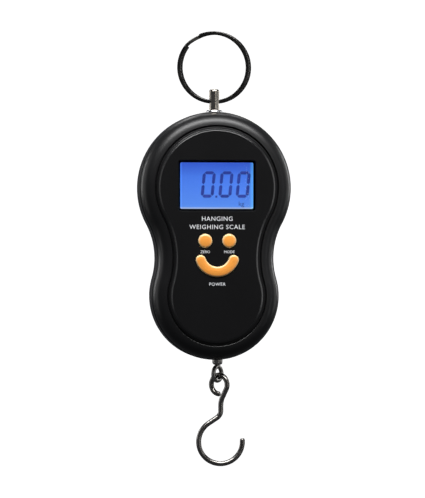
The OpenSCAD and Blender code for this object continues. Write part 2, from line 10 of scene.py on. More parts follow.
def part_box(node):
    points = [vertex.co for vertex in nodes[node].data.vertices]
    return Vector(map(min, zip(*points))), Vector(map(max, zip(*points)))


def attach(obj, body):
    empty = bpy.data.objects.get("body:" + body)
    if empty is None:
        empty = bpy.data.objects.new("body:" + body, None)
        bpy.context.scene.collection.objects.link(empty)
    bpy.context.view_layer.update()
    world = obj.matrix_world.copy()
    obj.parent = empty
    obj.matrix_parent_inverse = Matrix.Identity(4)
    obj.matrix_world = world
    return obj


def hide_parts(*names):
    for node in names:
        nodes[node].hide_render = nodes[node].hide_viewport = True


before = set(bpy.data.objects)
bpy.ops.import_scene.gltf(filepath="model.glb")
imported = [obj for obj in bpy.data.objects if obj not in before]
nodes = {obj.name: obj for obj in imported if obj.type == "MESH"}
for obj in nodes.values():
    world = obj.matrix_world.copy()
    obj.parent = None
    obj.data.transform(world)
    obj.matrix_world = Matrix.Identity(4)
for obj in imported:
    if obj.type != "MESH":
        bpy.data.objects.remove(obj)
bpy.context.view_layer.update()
MM = 0.001
scene = bpy.context.scene


# ---------------------------------------------------------------- sizes, mm
def size_of(node):
    lo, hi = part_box(node)
    return lo / MM, hi / MM


case_lo, case_hi = size_of("front_cover")
rear_lo, rear_hi = size_of("rear_cover")
UPPER_R = case_hi.x
LOWER_R = 29.75
WAIST_R = 33.8
UPPER_Z = case_hi.z - UPPER_R
LOWER_Z = case_lo.z + LOWER_R
PANEL_Y = size_of("face_panel")[0].y
FLOOR_Y = -10.9
FLOOR_BACK = -8.9
FLOOR_IN = 10.5
WALL_IN = 2.35
BACK_Y = rear_hi.y
GAP = UPPER_Z - LOWER_Z
DROP = ((UPPER_R + WAIST_R) ** 2 - (LOWER_R + WAIST_R) ** 2 + GAP**2) / (2 * GAP)
WAIST_X = math.sqrt((UPPER_R + WAIST_R) ** 2 - DROP**2)
WAIST_Z = UPPER_Z - DROP
UP_A = math.asin(DROP / (UPPER_R + WAIST_R))
LOW_A = math.asin((GAP - DROP) / (LOWER_R + WAIST_R))
KEYS_X, KEYS_Z, KEY_R = 5.55, -96.05, 3.25
SMILE_Z, SMILE_R, SMILE_W, SMILE_HALF = -102.25, 8.1, 4.7, math.radians(71)
VIEW_Z = -70.5
STUD_X = 1.5
POST_HOLE_Z = -31.25
RING_Z = -15.2
CELL_TOP = -49


# ---------------------------------------------------------------- outlines
def on_circle(cx, cz, r, angle):
    return (cx + r * math.cos(angle), cz + r * math.sin(angle))


def arc(cx, cz, r, a0, a1, n):
    """Points along an arc, without its last one."""
    return [on_circle(cx, cz, r, a0 + (a1 - a0) * i / n) for i in range(n)]


def case_line(d):
    """Points round the case outline, d mm inside it, anticlockwise seen from the front."""
    pi = math.pi
    return (
        arc(0, UPPER_Z, UPPER_R - d, -UP_A, pi + UP_A, 108)
        + arc(-WAIST_X, WAIST_Z, WAIST_R + d, UP_A, -LOW_A, 26)
        + arc(0, LOWER_Z, LOWER_R - d, pi - LOW_A, 2 * pi + LOW_A, 92)
        + arc(WAIST_X, WAIST_Z, WAIST_R + d, pi + LOW_A, pi - UP_A, 26)
    )


def rect_line(cx, cz, w, h, r):
    """A rounded rectangle; call with a grown size for an offset."""

    def line(d):
        rr = max(r - d, 0.02)
        hw, hh = w / 2 - d - rr, h / 2 - d - rr
        pts = []
        for sx, sz, a in ((1, 1, 0), (-1, 1, 90), (-1, -1, 180), (1, -1, 270)):
            pts += [on_circle(cx + sx * hw, cz + sz * hh, rr, math.radians(a + 90 * i / 6)) for i in range(7)]
        return pts

    return line


def circle_line(cx, cz, r, n=48):
    return lambda d: arc(cx, cz, r - d, 0, 2 * math.pi, n)


def smile_line(d):
    """The curved key's outline, d mm inside it."""
    half = SMILE_W / 2 - d
    a0, a1 = -math.pi / 2 - SMILE_HALF, -math.pi / 2 + SMILE_HALF
    ends = [(SMILE_R * math.cos(a), SMILE_Z + SMILE_R * math.sin(a)) for a in (a0, a1)]
    return (
        arc(0, SMILE_Z, SMILE_R + half, a0, a1, 40)
        + arc(*ends[1], half, a1, a1 + math.pi, 16)
        + arc(0, SMILE_Z, SMILE_R - half, a1, a0, 40)
        + arc(*ends[0], half, a0 + math.pi, a0 + 2 * math.pi, 16)
    )


# ---------------------------------------------------------------- mesh tools
class Build:
    """Collects faces in mm and makes one smooth-shaded mesh in metres."""

    def __init__(self):
        self.bm = bmesh.new()

    def ring(self, line, rows):
        """Rows of (inset, y) carried round an outline."""
        grid = [[self.bm.verts.new((x * MM, y * MM, z * MM)) for x, z in line(d)] for d, y in rows]
        n = len(grid[0])
        for low, high in zip(grid, grid[1:]):
            for i in range(n):
                j = (i + 1) % n
                self.bm.faces.new((low[i], low[j], high[j], high[i]))

    def plate(self, y, outer, holes=()):
        """A flat face at a depth, with holes."""
        loops = [list(outer)] + [list(h) for h in holes]
        flat = [p for loop in loops for p in loop]
        verts = [self.bm.verts.new((x * MM, y * MM, z * MM)) for x, z in flat]
        for tri in tessellate_polygon([[Vector((x, z, 0)) for x, z in loop] for loop in loops]):
            try:
                self.bm.faces.new([verts[i] for i in tri])
            except ValueError:
                pass

    def lathe(self, origin, axis, rows, n=64):
        """Rows of (radius, distance) turned about an axis."""
        axis = Vector(axis).normalized()
        side = axis.orthogonal().normalized()
        up = axis.cross(side)
        grid = []
        for r, h in rows:
            if r < 1e-6:
                grid.append([self.bm.verts.new((Vector(origin) + axis * h) * MM)] * n)
                continue
            row = []
            for i in range(n):
                turn = 2 * math.pi * i / n
                out = side * math.cos(turn) + up * math.sin(turn)
                row.append(self.bm.verts.new((Vector(origin) + axis * h + out * r) * MM))
            grid.append(row)
        for low, high in zip(grid, grid[1:]):
            for i in range(n):
                j = (i + 1) % n
                face = []
                for v in (low[i], low[j], high[j], high[i]):
                    if v not in face:
                        face.append(v)
                if len(face) > 2:
                    self.bm.faces.new(face)

    def tube(self, path, section, frames=None):
        """A section of (u, v) mm carried along points; ends are closed."""
        pts = [Vector(p) for p in path]
        grid = []
        u = None
        for i, p in enumerate(pts):
            t = (pts[min(i + 1, len(pts) - 1)] - pts[max(i - 1, 0)]).normalized()
            if frames:
                u = Vector(frames(i, p, t))
            elif u is None:
                u = t.orthogonal()
            u = (u - t * u.dot(t)).normalized()
            v = t.cross(u)
            sec = section(i) if callable(section) else section
            grid.append([self.bm.verts.new((p + u * a + v * b) * MM) for a, b in sec])
        n = len(grid[0])
        for low, high in zip(grid, grid[1:]):
            for i in range(n):
                j = (i + 1) % n
                self.bm.faces.new((low[i], low[j], high[j], high[i]))
        self.bm.faces.new(grid[0][::-1])
        self.bm.faces.new(grid[-1])

    def done(self, name, body, material, replaces=(), slot=None, sharp=35, weld=0.004):
        bmesh.ops.remove_doubles(self.bm, verts=self.bm.verts, dist=weld * MM)
        bmesh.ops.recalc_face_normals(self.bm, faces=self.bm.faces)
        mesh = bpy.data.meshes.new(name)
        self.bm.to_mesh(mesh)
        self.bm.free()
        return place(bpy.data.objects.new(name, mesh), body, material, replaces, sharp)


def carve(base, *tools):
    """A closed build with closed tools cut out of it."""
    parts = []
    for k in (base, *tools):
        bmesh.ops.remove_doubles(k.bm, verts=k.bm.verts, dist=0.002 * MM)
        bmesh.ops.recalc_face_normals(k.bm, faces=k.bm.faces)
        mesh = bpy.data.meshes.new("carve")
        k.bm.to_mesh(mesh)
        k.bm.free()
        parts.append(bpy.data.objects.new("carve", mesh))
        scene.collection.objects.link(parts[-1])
    for tool in parts[1:]:
        mod = parts[0].modifiers.new("carve", "BOOLEAN")
        mod.object = tool
        mod.solver = "EXACT"
    bpy.context.view_layer.update()
    fresh = bpy.data.meshes.new_from_object(parts[0].evaluated_get(bpy.context.evaluated_depsgraph_get()))
    for obj in parts:
        bpy.data.objects.remove(obj)
    out = Build()
    out.bm.from_mesh(fresh)
    return out


def prism(line, y0, y1):
    """A closed upright block with the given outline between two depths."""
    k = Build()
    k.ring(line, [(0, y0), (0, y1)])
    k.plate(y0, line(0))
    k.plate(y1, line(0))
    return k


def pin(x, rows, n=48):
    """A closed turned tool on an upright axis."""
    k = Build()
    k.lathe((x, 0, 0), (0, 0, 1), [(0, rows[0][1])] + list(rows) + [(0, rows[-1][1])], n)
    return k


def seam_ways():
    """Room for the hanger post, its collar and the swivelling neck."""
    top, foot = UPPER_Z + UPPER_R, LOWER_Z - LOWER_R
    return [
        pin(0, [(2.65, top - 5), (2.65, top - 0.76), (3.9, top - 0.76), (3.9, top + 2)]),
        pin(STUD_X, [(2.725, foot - 2), (2.725, foot + 5)]),
    ]


def place(obj, body, material, replaces=(), sharp=35):
    if obj.name not in scene.collection.objects:
        scene.collection.objects.link(obj)
    obj.data.materials.clear()
    obj.data.materials.append(material)
    if obj.type == "MESH":
        obj.data.shade_smooth()
        obj.data.set_sharp_from_angle(angle=math.radians(sharp))
    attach(obj, body)
    if replaces:
        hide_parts(*replaces)
    return obj


def round_rows(d0, y0, d1, y1, steps=6):
    """A quarter round from (d0, y0), leaving along y, to (d1, y1), arriving along d."""
    turns = [math.pi / 2 * i / steps for i in range(steps + 1)]
    return [(d0 + (d1 - d0) * (1 - math.cos(a)), y0 + (y1 - y0) * math.sin(a)) for a in turns]


def disc(r, n=20):
    return [(r * math.cos(2 * math.pi * i / n), r * math.sin(2 * math.pi * i / n)) for i in range(n)]


# ---------------------------------------------------------------- materials
def new_material(name):
    m = bpy.data.materials.new(name)
    m.use_nodes = True
    t = m.node_tree
    return m, t, t.nodes["Principled BSDF"]


def spot(t, scale=1.0, stretch=(1, 1, 1)):
    """Object coordinates in mm, stretched."""
    c = t.nodes.new("ShaderNodeTexCoord")
    m = t.nodes.new("ShaderNodeMapping")
    m.inputs["Scale"].default_value = [1000 * scale * s for s in stretch]
    t.links.new(c.outputs["Object"], m.inputs["Vector"])
    return m.outputs["Vector"]


def noise(t, vec, scale, detail=3, rough=0.5):
    n = t.nodes.new("ShaderNodeTexNoise")
    n.inputs["Scale"].default_value = scale
    n.inputs["Detail"].default_value = detail
    n.inputs["Roughness"].default_value = rough
    t.links.new(vec, n.inputs["Vector"])
    return n.outputs["Fac"]


def ramp(t, fac, stops):
    r = t.nodes.new("ShaderNodeValToRGB")
    e = r.color_ramp.elements
    while len(e) < len(stops):
        e.new(0.5)
    for el, (pos, col) in zip(e, stops):
        el.position = pos
        el.color = (*col, 1) if len(col) == 3 else col
    t.links.new(fac, r.inputs["Fac"])
    return r.outputs["Color"]


def spread(t, fac, low, high):
    m = t.nodes.new("ShaderNodeMapRange")
    m.inputs["From Min"].default_value = 0.3
    m.inputs["From Max"].default_value = 0.7
    m.inputs["To Min"].default_value = low
    m.inputs["To Max"].default_value = high
    t.links.new(fac, m.inputs["Value"])
    return m.outputs["Result"]


def bump(t, height, strength, distance_mm, under=None):
    b = t.nodes.new("ShaderNodeBump")
    b.inputs["Strength"].default_value = strength
    b.inputs["Distance"].default_value = distance_mm * MM
    t.links.new(height, b.inputs["Height"])
    if under:
        t.links.new(under, b.inputs["Normal"])
    return b.outputs["Normal"]


def plastic(name, colour, rough, grain=3.0, grain_bump=0.25, vary=0.12, specular=0.5, coat=0.0, sub=0.0):
    m, t, p = new_material(name)
    v = spot(t)
    broad = noise(t, v, 0.06, 4, 0.6)
    fine = noise(t, v, grain, 2, 0.6)
    dark = tuple(c * (1 - vary) for c in colour)
    light = tuple(min(1, c * (1 + vary)) for c in colour)
    t.links.new(ramp(t, broad, [(0.3, dark), (0.7, light)]), p.inputs["Base Color"])
    t.links.new(spread(t, fine, rough - 0.05, rough + 0.05), p.inputs["Roughness"])
    t.links.new(bump(t, fine, grain_bump, 0.05), p.inputs["Normal"])
    p.inputs["Specular IOR Level"].default_value = specular
    if coat:
        p.inputs["Coat Weight"].default_value = coat
        p.inputs["Coat Roughness"].default_value = 0.15
    if sub:
        p.inputs["Subsurface Weight"].default_value = sub
        p.inputs["Subsurface Scale"].default_value = 0.002
        p.inputs["Subsurface Radius"].default_value = (1.0, 0.45, 0.15)
    return m


def metal(name, colour, rough, stretch=(1, 1, 1), scratch=0.08, tarnish=None, amount=0.35):
    """Metal with fine drawn lines, uneven polish and, if asked, patches of tarnish."""
    m, t, p = new_material(name)
    lines = noise(t, spot(t, 1, stretch), 1.2, 5, 0.65)
    broad = noise(t, spot(t), 0.22, 4, 0.6)
    other = tarnish or tuple(c * 0.8 for c in colour)
    stops = [(0.5 - amount / 2, other), (0.5 + amount / 3, colour)]
    t.links.new(ramp(t, broad, stops), p.inputs["Base Color"])
    p.inputs["Metallic"].default_value = 1.0
    t.links.new(spread(t, lines, rough * 0.6, rough * 1.5), p.inputs["Roughness"])
    t.links.new(bump(t, lines, scratch, 0.04), p.inputs["Normal"])
    return m


def glass(name, tint, rough=0.03):
    m, t, p = new_material(name)
    fine = noise(t, spot(t), 0.4, 3)
    t.links.new(spread(t, fine, rough * 0.5, rough * 1.6), p.inputs["Roughness"])
    p.inputs["Base Color"].default_value = (*tint, 1)
    p.inputs["Transmission Weight"].default_value = 1.0
    p.inputs["IOR"].default_value = 1.1
    p.inputs["Specular IOR Level"].default_value = 0.4
    return m


def key_material():
    """Orange soft plastic with a painted highlight: paler cream where the rounded edge turns away from the
    front.
    """
    m = plastic(
        "key_orange_soft_painted_edge_highlight", (0.86, 0.33, 0.05), 0.36,
        grain=2.2, grain_bump=0.08, vary=0.05, coat=0.25, sub=0.05,
    )
    t = m.node_tree
    p = t.nodes["Principled BSDF"]
    # painted highlight: where the surface slopes away from the front, the orange is blended towards pale
    # cream, as if lit along the rounded edge
    c = t.nodes.new("ShaderNodeTexCoord")
    split = t.nodes.new("ShaderNodeSeparateXYZ")
    t.links.new(c.outputs["Normal"], split.inputs[0])
    turned = t.nodes.new("ShaderNodeMapRange")
    turned.inputs["From Min"].default_value = -0.99
    turned.inputs["From Max"].default_value = -0.6
    t.links.new(split.outputs[1], turned.inputs["Value"])
    mix = t.nodes.new("ShaderNodeMix")
    mix.data_type = "RGBA"
    t.links.new(turned.outputs["Result"], mix.inputs["Factor"])
    t.links.new(p.inputs["Base Color"].links[0].from_socket, mix.inputs["A"])
    mix.inputs["B"].default_value = (1.0, 0.74, 0.4, 1)
    t.links.new(mix.outputs["Result"], p.inputs["Base Color"])
    return m


case_mat = plastic(
    "case_moulded", (0.0045, 0.0045, 0.005), 0.36,
    grain=2.6, grain_bump=0.12, vary=0.18, specular=0.4,
)
panel_mat = plastic(
    "panel_moulded", (0.0032, 0.0032, 0.0036), 0.42,
    grain=4.5, grain_bump=0.06, vary=0.15, specular=0.2,
)
key_mat = key_material()
# a glossier copy of the panel plastic, also lighter in colour: a painted highlight for the thin bright line
# along the panel's bevel
bevel_gloss_highlight_mat = plastic(
    "panel_bevel_gloss_painted_highlight", (0.006, 0.006, 0.0065), 0.3,
    grain=4.5, grain_bump=0.03, vary=0.1, specular=0.75,
)
steel_dark = metal("ring_dark_plating", (0.09, 0.088, 0.084), 0.22, (0.2, 1, 0.2), 0.01, (0.06, 0.058, 0.056))
steel_post = metal("post_turned", (0.5, 0.46, 0.4), 0.15, (0.2, 0.2, 1.5), 0.01, (0.4, 0.37, 0.33))
chrome_mat = metal("collar_polished", (0.85, 0.85, 0.87), 0.1, (1, 1, 4), 0.03)
hook_mat = metal("hook_drawn_wire", (0.3, 0.29, 0.275), 0.24, (5, 5, 1), 0.1, (0.12, 0.11, 0.1), 0.5)
eye_mat = metal("eye_worn_plating", (0.4, 0.39, 0.37), 0.24, (4, 4, 1), 0.1, (0.16, 0.15, 0.14), 0.5)
zinc_mat = metal("zinc_plate", (0.66, 0.67, 0.69), 0.26, (3, 3, 3), 0.08)
alu_mat = metal("milled_aluminium", (0.78, 0.79, 0.8), 0.3, (9, 1, 0.6), 0.14)
nickel_mat = metal("nickel_strip", (0.74, 0.72, 0.68), 0.2, (1, 8, 1), 0.08)
brass_mat = metal("brass_washer", (0.78, 0.56, 0.25), 0.25, (2, 2, 2), 0.08, (0.5, 0.34, 0.14))
dark_zinc = metal("blackened_screw", (0.16, 0.16, 0.17), 0.35, (3, 3, 3), 0.1)
white_mat = plastic("frame_white_moulded", (0.72, 0.72, 0.69), 0.45, grain=1.8, vary=0.05)
cream_mat = plastic("pin_cream_moulded", (0.7, 0.66, 0.55), 0.4, vary=0.06)
rubber_mat = plastic("strip_rubber", (0.5, 0.16, 0.2), 0.75, grain=5, grain_bump=0.4)
guide_mat = plastic("light_guide_frosted", (0.62, 0.78, 0.95), 0.3, grain=6, vary=0.04)
lamp_mat = plastic("lamp_resin", (0.9, 0.9, 0.75), 0.2, vary=0.03)
epoxy_mat = plastic("epoxy_drop", (0.012, 0.012, 0.012), 0.18, grain=0.6, grain_bump=0.3)
chip_mat = plastic("chip_moulded", (0.03, 0.03, 0.033), 0.6, grain=7, grain_bump=0.3)
ceramic_mat = plastic("part_ceramic", (0.42, 0.3, 0.16), 0.4, grain=3, vary=0.25)
switch_mat = plastic("switch_moulded", (0.05, 0.05, 0.055), 0.45, vary=0.1)
tray_mat = plastic("tray_moulded", (0.035, 0.035, 0.038), 0.55, grain=2.2)
lead_mat = plastic("lead_sleeve", (0.42, 0.04, 0.03), 0.45, grain=1.0, vary=0.2)


def board_material():
    """Green lacquer over copper tracks."""
    m, t, p = new_material("board_lacquer")
    v = spot(t)
    brick = t.nodes.new("ShaderNodeTexBrick")
    brick.inputs["Scale"].default_value = 0.42
    brick.inputs["Mortar Size"].default_value = 0.055
    brick.inputs["Color1"].default_value = (0.012, 0.13, 0.035, 1)
    brick.inputs["Color2"].default_value = (0.014, 0.15, 0.04, 1)
    brick.inputs["Mortar"].default_value = (0.03, 0.26, 0.07, 1)
    turn = t.nodes.new("ShaderNodeMapping")
    turn.inputs["Rotation"].default_value = (math.pi / 2, 0, 0)
    t.links.new(v, turn.inputs["Vector"])
    t.links.new(turn.outputs["Vector"], brick.inputs["Vector"])
    t.links.new(brick.outputs["Color"], p.inputs["Base Color"])
    t.links.new(bump(t, brick.outputs["Fac"], 0.3, 0.04), p.inputs["Normal"])
    t.links.new(spread(t, noise(t, v, 0.8), 0.22, 0.36), p.inputs["Roughness"])
    return m


def gauge_material():
    m, t, p = new_material("gauge_foil")
    w = t.nodes.new("ShaderNodeTexWave")
    w.inputs["Scale"].default_value = 1.6
    w.inputs["Distortion"].default_value = 0.4
    t.links.new(spot(t), w.inputs["Vector"])
    stops = [(0.4, (0.5, 0.25, 0.04)), (0.6, (0.85, 0.62, 0.3))]
    t.links.new(ramp(t, w.outputs["Fac"], stops), p.inputs["Base Color"])
    p.inputs["Roughness"].default_value = 0.3
    return m


def battery_material():
    """Printed sleeve in blue and grey bands, with fine scuffs."""
    m, t, p = new_material("battery_sleeve")
    v = spot(t)
    wave = t.nodes.new("ShaderNodeTexWave")
    wave.bands_direction = "Z"
    wave.inputs["Scale"].default_value = 0.022
    wave.inputs["Distortion"].default_value = 0.0
    t.links.new(v, wave.inputs["Vector"])
    stops = [(0.48, (0.02, 0.06, 0.2)), (0.52, (0.45, 0.47, 0.5))]
    t.links.new(ramp(t, wave.outputs["Fac"], stops), p.inputs["Base Color"])
    p.inputs["Metallic"].default_value = 0.4
    t.links.new(spread(t, noise(t, v, 1.2, 5), 0.22, 0.4), p.inputs["Roughness"])
    return m


def display_material():
    """Blue light, deeper at the top, brighter at the foot and with a cyan right edge."""
    m, t, p = new_material("display_light")
    c = t.nodes.new("ShaderNodeTexCoord")
    split = t.nodes.new("ShaderNodeSeparateXYZ")
    t.links.new(c.outputs["Object"], split.inputs[0])

    def along(axis, low, high):
        r = t.nodes.new("ShaderNodeMapRange")
        r.inputs["From Min"].default_value = low * MM
        r.inputs["From Max"].default_value = high * MM
        t.links.new(split.outputs[axis], r.inputs["Value"])
        return r.outputs["Result"]

    tall = along(2, VIEW_Z - 11, VIEW_Z + 11)
    wide = along(0, -17.2, 17.2)
    foot_line = (0.42, 0.52, 0.72)
    rise = [
        (0.0, foot_line), (0.03, foot_line), (0.06, (0.085, 0.26, 0.83)),
        (0.25, (0.07, 0.22, 0.78)), (0.7, (0.045, 0.165, 0.72)), (1.0, (0.02, 0.075, 0.58)),
    ]
    base = ramp(t, tall, rise)
    dark = (0, 0, 0)
    edge = ramp(t, wide, [(0.0, (0.06, 0.2, 0.7)), (0.05, dark), (0.95, dark), (1.0, (0.08, 0.4, 0.4))])
    add = t.nodes.new("ShaderNodeMix")
    add.data_type = "RGBA"
    add.blend_type = "ADD"
    add.inputs["Factor"].default_value = 0.8
    t.links.new(base, add.inputs["A"])
    t.links.new(edge, add.inputs["B"])
    mott = noise(t, spot(t), 0.12, 3)
    mix = t.nodes.new("ShaderNodeMix")
    mix.data_type = "RGBA"
    mix.blend_type = "MULTIPLY"
    mix.inputs["Factor"].default_value = 0.12
    t.links.new(add.outputs["Result"], mix.inputs["A"])
    t.links.new(ramp(t, mott, [(0.3, (0.75, 0.8, 0.9)), (0.7, (1, 1, 1))]), mix.inputs["B"])
    p.inputs["Base Color"].default_value = (0.01, 0.03, 0.12, 1)
    p.inputs["Roughness"].default_value = 0.35
    t.links.new(mix.outputs["Result"], p.inputs["Emission Color"])
    p.inputs["Emission Strength"].default_value = 0.88
    return m


def ink_material(name, colour, glow=0.0):
    m, t, p = new_material(name)
    v = spot(t)
    lo = tuple(c * 0.85 for c in colour)
    t.links.new(ramp(t, noise(t, v, 3.0), [(0.35, lo), (0.65, colour)]), p.inputs["Base Color"])
    p.inputs["Roughness"].default_value = 0.5
    if glow:
        p.inputs["Emission Color"].default_value = (*colour, 1)
        p.inputs["Emission Strength"].default_value = glow
    return m


board_mat, gauge_mat = board_material(), gauge_material()
battery_mat, display_mat = battery_material(), display_material()
digit_mat = ink_material("digit_ink", (0.001, 0.012, 0.15), 0.8)
print_mat = ink_material("printed_white", (0.8, 0.82, 0.85))
window_mat = glass("window_clear", (0.97, 0.985, 1.0))

KEPT = {
    "post_nut": zinc_mat, "lcd_frame": white_mat, "zebra_strip": rubber_mat,
    "backlight_panel": guide_mat, "backlight_leds": lamp_mat, "circuit_board": board_mat,
    "controller_blob": epoxy_mat, "converter_chip": chip_mat, "board_parts": ceramic_mat,
    "board_screws": zinc_mat, "tact_switches": switch_mat, "tare_plunger": cream_mat,
    "unit_plunger": cream_mat, "power_plunger": cream_mat, "load_cell": alu_mat,
    "cell_screws": zinc_mat, "strain_gauges": gauge_mat, "cell_wires": lead_mat,
    "battery_tray": tray_mat, "battery_1": battery_mat, "battery_2": battery_mat,
    "battery_springs": nickel_mat, "link_contact": nickel_mat, "terminal_contacts": nickel_mat,
    "battery_wires": lead_mat, "case_screws": dark_zinc, "swivel_nut": zinc_mat,
    "swivel_washer": brass_mat, "lcd_glass": display_mat,
}
for name, mat in KEPT.items():
    for s in nodes[name].material_slots:
        s.material = mat

# ---------------------------------------------------------------- openings
window_in = rect_line(0, VIEW_Z, 34.2, 21.7, 0.8)
window_out = rect_line(0, VIEW_Z, 35.8, 23.3, 1.2)
key_gap = 0.25
left_key = circle_line(-KEYS_X, KEYS_Z, KEY_R + key_gap)
right_key = circle_line(KEYS_X, KEYS_Z, KEY_R + key_gap)


def smile_hole(d):
    return smile_line(d - key_gap)


HOLES = (window_in, left_key, right_key, smile_hole)
BOARD_HOLES = ((-23, -58), (23, -58), (-23, -86), (23, -86), (-11.5, -114.5), (11.5, -114.5))
CASE_HOLES = ((-8, -44), (8, -44), (-17.5, -134), (17.5, -134))


def boss(b, x, z, r, bore, y0, y1):
    """A hollow post from y0 to y1."""
    rows = [(r, y0), (r, y1 - 0.2), (r - 0.2, y1), (bore + 0.15, y1), (bore, y1 - 0.15), (bore, y0)]
    b.lathe((x, 0, z), (0, 1, 0), rows, 32)


# ---------------------------------------------------------------- front cover
b = Build()
rim = [
    (WALL_IN, 0), (0.35, 0), (0.05, -0.32), (0.0, -0.6), (0.06, -3.2),
    (0.1, -5.1), (0.16, -5.26), (0.42, -5.34), (0.5, -5.5),
]
for i in range(1, 15):
    a = math.radians(90 * i / 15)
    rim.append((0.5 + 6.7 * (1 - math.cos(a)), -5.5 - 6.7 * math.sin(a)))
rim = [r for r in rim if r[0] < 6.35]
rim += [(6.45, -12.19), (6.58, -12.1), (6.64, -11.95), (6.66, -11.1), (6.8, -10.92)]
rim += [(7.0, FLOOR_Y), (FLOOR_IN, FLOOR_Y)]
b.ring(case_line, rim)
b.plate(FLOOR_Y, case_line(FLOOR_IN), [h(0) for h in HOLES])
for h in HOLES:
    b.ring(h, [(0, FLOOR_Y), (0, FLOOR_BACK)])
b.plate(FLOOR_BACK, case_line(6.0), [h(0) for h in HOLES])
b.ring(case_line, [(6.0, FLOOR_BACK), (4.4, -8.3), (3.2, -7), (WALL_IN, -1), (WALL_IN, 0)])
b = carve(b, *seam_ways())
for x, z in BOARD_HOLES:
    boss(b, x, z, 2.3, 1.02, FLOOR_BACK, -5.8)
for x, z in CASE_HOLES:
    boss(b, x, z, 2.8, 1.12, FLOOR_BACK, 0)
b.done("front_cover_shell", "case", case_mat, ["front_cover"], "case_black", sharp=28)

# ---------------------------------------------------------------- face panel
b = Build()
rows = [
    (7.4, FLOOR_Y), (7.4, -12.2), (7.45, -12.33), (7.6, -12.4), (8.25, -12.44), (8.35, -12.5),
    (8.95, -13.22), (9.05, -13.33), (9.2, PANEL_Y), (11, PANEL_Y),
]
b.ring(case_line, rows)
LIP = 0.45
lips = [(window_out, -11.4), (left_key, FLOOR_Y), (right_key, FLOOR_Y), (smile_hole, FLOOR_Y)]
b.plate(PANEL_Y, case_line(11), [h(-LIP) for h, _ in lips])
lip_rows = [
    (-LIP, PANEL_Y), (-0.2, PANEL_Y), (-0.1, PANEL_Y + 0.03), (-0.03, PANEL_Y + 0.1), (0, PANEL_Y + 0.22),
]
for h, foot in lips:
    b.ring(h, lip_rows + [(0, foot)])
b.plate(-11.4, window_out(0), [window_in(0)])
b.ring(window_in, [(0, -11.4), (0, FLOOR_Y)])
b.plate(FLOOR_Y, case_line(7.4), [h(0) for h in HOLES])
panel = b.done("face_panel_plate", "case", panel_mat, ["face_panel"], "panel_black", sharp=25)
# the bevel faces take the lighter, glossier copy of the panel plastic: a painted highlight along the panel's
# edge
panel.data.materials.append(bevel_gloss_highlight_mat)
for face in panel.data.polygons:
    x, y, z = face.center / MM
    outer = abs(x) > 18.5 or z > -58.5 or z < -117.5 or (abs(x) > 12 and z < -85)
    if outer and y < -12.45 and 0.3 < abs(face.normal.y) < 0.97:
        face.material_index = 1

# ---------------------------------------------------------------- display
b = Build()
lens = rect_line(0, VIEW_Z, 35.7, 23.2, 1.15)
b.ring(lens, [(0, -11.4), (0, -12.7), (0.06, -12.84), (0.2, -12.9)])
b.plate(-12.9, lens(0.2))
b.plate(-11.4, lens(0))
b.done("display_window_lens", "case", window_mat, ["display_window"], "window_clear", sharp=50)

# thin dark printed border behind the lens
b = Build()
border = rect_line(0, VIEW_Z, 35.6, 23.1, 1.1)
b.plate(-11.37, border(0), [rect_line(0, VIEW_Z, 33.9, 21.4, 0.7)(0)])
b.ring(border, [(0, -11.37), (0, -11.3)])
b.done("display_border", "case", panel_mat, (), "panel_black")

DIGIT_Z, DIGIT_H, SLANT = -76.0, 12.2, 0.1


def bar_shape(x0, z0, x1, z1, w):
    """A digit bar with pointed ends."""
    d = Vector((x1 - x0, z1 - z0)).normalized()
    n = Vector((-d.y, d.x)) * w / 2
    a, c = Vector((x0, z0)), Vector((x1, z1))
    tip = d * w / 2
    return [a, a + tip + n, c - tip + n, c, c - tip - n, a + tip - n]


def lean(p):
    return (p[0] + SLANT * (p[1] - DIGIT_Z), p[1])


b = Build()
W = 1.4


def flat_bar(points, y0=-8.82, y1=-8.7):
    pts = [lean(p) for p in points]
    b.ring(lambda d: pts, [(0, y1), (0, y0)])
    b.plate(y0, pts)


for x in (-7.3, 0.9, 8.9):
    l, r, lo, hi = x + W / 2, x + 6 - W / 2, DIGIT_Z + W / 2, DIGIT_Z + DIGIT_H - W / 2
    mid = (lo + hi) / 2
    g = 0.12
    for x0, z0, x1, z1 in (
        (l + g, hi, r - g, hi), (l + g, lo, r - g, lo), (l, lo + g, l, mid - g), (l, mid + g, l, hi - g),
        (r, lo + g, r, mid - g), (r, mid + g, r, hi - g),
    ):
        flat_bar(bar_shape(x0, z0, x1, z1, W))
flat_bar([(-0.45, DIGIT_Z), (0.45, DIGIT_Z), (0.45, DIGIT_Z + 0.95), (-0.45, DIGIT_Z + 0.95)])
b.done("display_digits", "case", digit_mat, ["lcd_digits"], "digit_navy", sharp=20)


def words(name, text, x, z, size, y, material, depth=0.03, spacing=1.0):
    """Flat raised lettering on the front, as a mesh."""
    c = bpy.data.curves.new(name, "FONT")
    c.body = text
    c.size = size * MM
    c.align_x = "CENTER"
    c.align_y = "CENTER"
    c.extrude = depth * MM
    c.space_character = spacing
    c.resolution_u = 3
    o = bpy.data.objects.new(name, c)
    scene.collection.objects.link(o)
    o.matrix_world = Matrix.Translation((x * MM, y * MM, z * MM)) @ Matrix.Rotation(math.pi / 2, 4, "X")
    bpy.context.view_layer.update()
    mesh = bpy.data.meshes.new_from_object(o.evaluated_get(bpy.context.evaluated_depsgraph_get()))
    mesh.transform(o.matrix_world)
    bpy.data.objects.remove(o)
    place(bpy.data.objects.new(name, mesh), "case", material, ())


words("display_unit", "kg", 11.6, -78.9, 2.9, -8.76, digit_mat)
words("print_upper", "HANGING", 0, -85.9, 2.9, PANEL_Y, print_mat, spacing=1.12)
words("print_lower", "WEIGHING SCALE", 0, -89.7, 2.9, PANEL_Y, print_mat, spacing=1.12)
words("print_left", "ZERO", -KEYS_X, -101.15, 1.75, PANEL_Y, print_mat)
words("print_right", "MODE", KEYS_X, -101.15, 1.75, PANEL_Y, print_mat)
words("print_foot", "POWER", 0, -116.1, 2.1, PANEL_Y, print_mat, spacing=1.1)

# ---------------------------------------------------------------- keys
PROUD = PANEL_Y - 1.1


